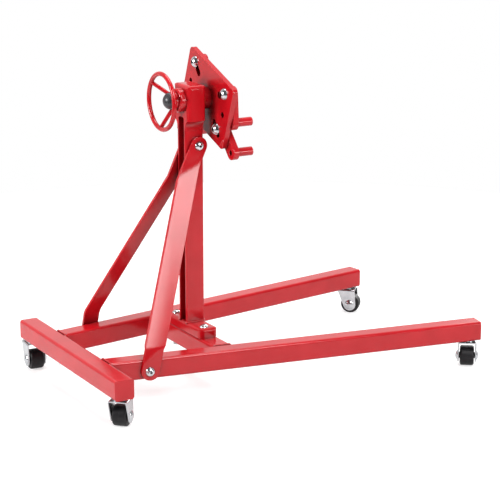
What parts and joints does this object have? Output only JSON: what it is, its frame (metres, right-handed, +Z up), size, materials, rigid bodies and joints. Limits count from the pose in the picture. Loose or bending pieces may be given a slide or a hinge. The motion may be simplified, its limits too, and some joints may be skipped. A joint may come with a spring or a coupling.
{
  "type": "engine stand",
  "caption": "Wheeled engine stand: splayed square-tube base on swivel casters, braced post, and a handwheel-turned slotted plate with adjustable bored arms.",
  "frame": {"origin": "on the floor under the middle of the frame", "axes": "+X along the stand from the handwheel to the arms, +Y to the left, +Z up"},
  "size_m": [1.0512, 0.6447, 0.8301],
  "materials": {
    "red_paint": "smooth gloss",
    "bright_zinc": "bright plated",
    "bright_chrome": "polished",
    "wheel_rubber": "satin",
    "black_plastic": "semi-gloss",
    "bearing_brass": "machined",
    "turned_steel": "turned"
  },
  "bodies": {
    "frame": {"rear_cross_tube": "red_paint", "left_rail": "red_paint", "right_rail": "red_paint", "post_crossmember": "red_paint", "tube_end_caps": "red_paint", "post_foot": "red_paint", "foot_bolts": "bright_zinc", "foot_nuts": "bright_zinc", "post_channel": "red_paint", "head_housing": "red_paint", "front_bush": "bearing_brass", "rear_bush": "bearing_brass", "left_brace": "red_paint", "right_brace": "red_paint", "brace_foot_bolts": "bright_zinc", "brace_foot_nuts": "bright_zinc", "brace_top_bolt": "bright_zinc", "brace_top_nut": "bright_zinc", "caster_stems": "bright_zinc", "caster_stem_nuts": "bright_zinc"},
    "head": {"spindle": "turned_steel", "thrust_washer": "bearing_brass", "plate_collar": "red_paint", "mounting_plate": "red_paint", "handwheel_rim": "red_paint", "handwheel_spokes": "red_paint", "handwheel_hub": "red_paint", "handwheel_key": "turned_steel", "spindle_nut": "bright_zinc", "hub_cap": "black_plastic"},
    "upper_left_carriage": {"upper_left_bolt": "bright_zinc"},
    "upper_left_swing_arm": {"upper_left_arm": "red_paint", "upper_left_finger": "red_paint"},
    "upper_right_carriage": {"upper_right_bolt": "bright_zinc"},
    "upper_right_swing_arm": {"upper_right_arm": "red_paint", "upper_right_finger": "red_paint"},
    "lower_right_carriage": {"lower_right_bolt": "bright_zinc"},
    "lower_right_swing_arm": {"lower_right_arm": "red_paint", "lower_right_finger": "red_paint"},
    "lower_left_carriage": {"lower_left_bolt": "bright_zinc"},
    "lower_left_swing_arm": {"lower_left_arm": "red_paint", "lower_left_finger": "red_paint"},
    "rear_left_swivel": {"rear_left_fork": "bright_chrome", "rear_left_axle": "bright_chrome"},
    "rear_left_roller": {"rear_left_wheel": "wheel_rubber"},
    "rear_right_swivel": {"rear_right_fork": "bright_chrome", "rear_right_axle": "bright_chrome"},
    "rear_right_roller": {"rear_right_wheel": "wheel_rubber"},
    "front_left_swivel": {"front_left_fork": "bright_chrome", "front_left_axle": "bright_chrome"},
    "front_left_roller": {"front_left_wheel": "wheel_rubber"},
    "front_right_swivel": {"front_right_fork": "bright_chrome", "front_right_axle": "bright_chrome"},
    "front_right_roller": {"front_right_wheel": "wheel_rubber"}
  },
  "joints": [
    {"name": "head_turn", "type": "hinge", "parent": "frame", "child": "head", "pos_m": [-0.16555, 0, 0.7135], "axis": [1, 0, 0], "continuous": true},
    {"name": "upper_left_slot_slide", "type": "slide", "parent": "head", "child": "upper_left_carriage", "axis": [0, 0.5779, 0.8161], "range_m": [-0.031, 0.001]},
    {"name": "upper_left_arm_swing", "type": "hinge", "parent": "upper_left_carriage", "child": "upper_left_swing_arm", "pos_m": [-0.10675, 0.05779, 0.79511], "axis": [1, 0, 0], "range_deg": [-100, 12]},
    {"name": "upper_right_slot_slide", "type": "slide", "parent": "head", "child": "upper_right_carriage", "axis": [0, -0.9732, 0.23], "range_m": [-0.012, 0.006]},
    {"name": "upper_right_arm_swing", "type": "hinge", "parent": "upper_right_carriage", "child": "upper_right_swing_arm", "pos_m": [-0.10675, -0.09245, 0.73535], "axis": [1, 0, 0], "range_deg": [-110, 10]},
    {"name": "lower_right_slot_slide", "type": "slide", "parent": "head", "child": "lower_right_carriage", "axis": [0, -0.5779, -0.8161], "range_m": [-0.018, 0.014]},
    {"name": "lower_right_arm_swing", "type": "hinge", "parent": "lower_right_carriage", "child": "lower_right_swing_arm", "pos_m": [-0.10675, -0.05027, 0.6425], "axis": [1, 0, 0], "range_deg": [-22, 90]},
    {"name": "lower_left_slot_slide", "type": "slide", "parent": "head", "child": "lower_left_carriage", "axis": [0, 0.9732, -0.23], "range_m": [-0.015, 0.016]},
    {"name": "lower_left_arm_swing", "type": "hinge", "parent": "lower_left_carriage", "child": "lower_left_swing_arm", "pos_m": [-0.10675, 0.08272, 0.69395], "axis": [1, 0, 0], "range_deg": [-40, 150]},
    {"name": "rear_left_caster_swivel", "type": "hinge", "parent": "frame", "child": "rear_left_swivel", "pos_m": [-0.49255, 0.259, 0.063], "axis": [0, 0, 1], "continuous": true},
    {"name": "rear_left_wheel_roll", "type": "hinge", "parent": "rear_left_swivel", "child": "rear_left_roller", "pos_m": [-0.49351, 0.24804, 0.026], "axis": [0.9962, -0.0872, 0], "continuous": true},
    {"name": "rear_right_caster_swivel", "type": "hinge", "parent": "frame", "child": "rear_right_swivel", "pos_m": [-0.49255, -0.259, 0.063], "axis": [0, 0, 1], "continuous": true},
    {"name": "rear_right_wheel_roll", "type": "hinge", "parent": "rear_right_swivel", "child": "rear_right_roller", "pos_m": [-0.4849, -0.25109, 0.026], "axis": [-0.7193, 0.6947, 0], "continuous": true},
    {"name": "front_left_caster_swivel", "type": "hinge", "parent": "frame", "child": "front_left_swivel", "pos_m": [0.48787, 0.2891, 0.063], "axis": [0, 0, 1], "continuous": true},
    {"name": "front_left_wheel_roll", "type": "hinge", "parent": "front_left_swivel", "child": "front_left_roller", "pos_m": [0.49591, 0.2816, 0.026], "axis": [0.682, 0.7314, 0], "continuous": true},
    {"name": "front_right_caster_swivel", "type": "hinge", "parent": "frame", "child": "front_right_swivel", "pos_m": [0.48787, -0.2891, 0.063], "axis": [0, 0, 1], "continuous": true},
    {"name": "front_right_wheel_roll", "type": "hinge", "parent": "front_right_swivel", "child": "front_right_roller", "pos_m": [0.49417, -0.28009, 0.026], "axis": [-0.8192, 0.5736, 0], "continuous": true}
  ]
}
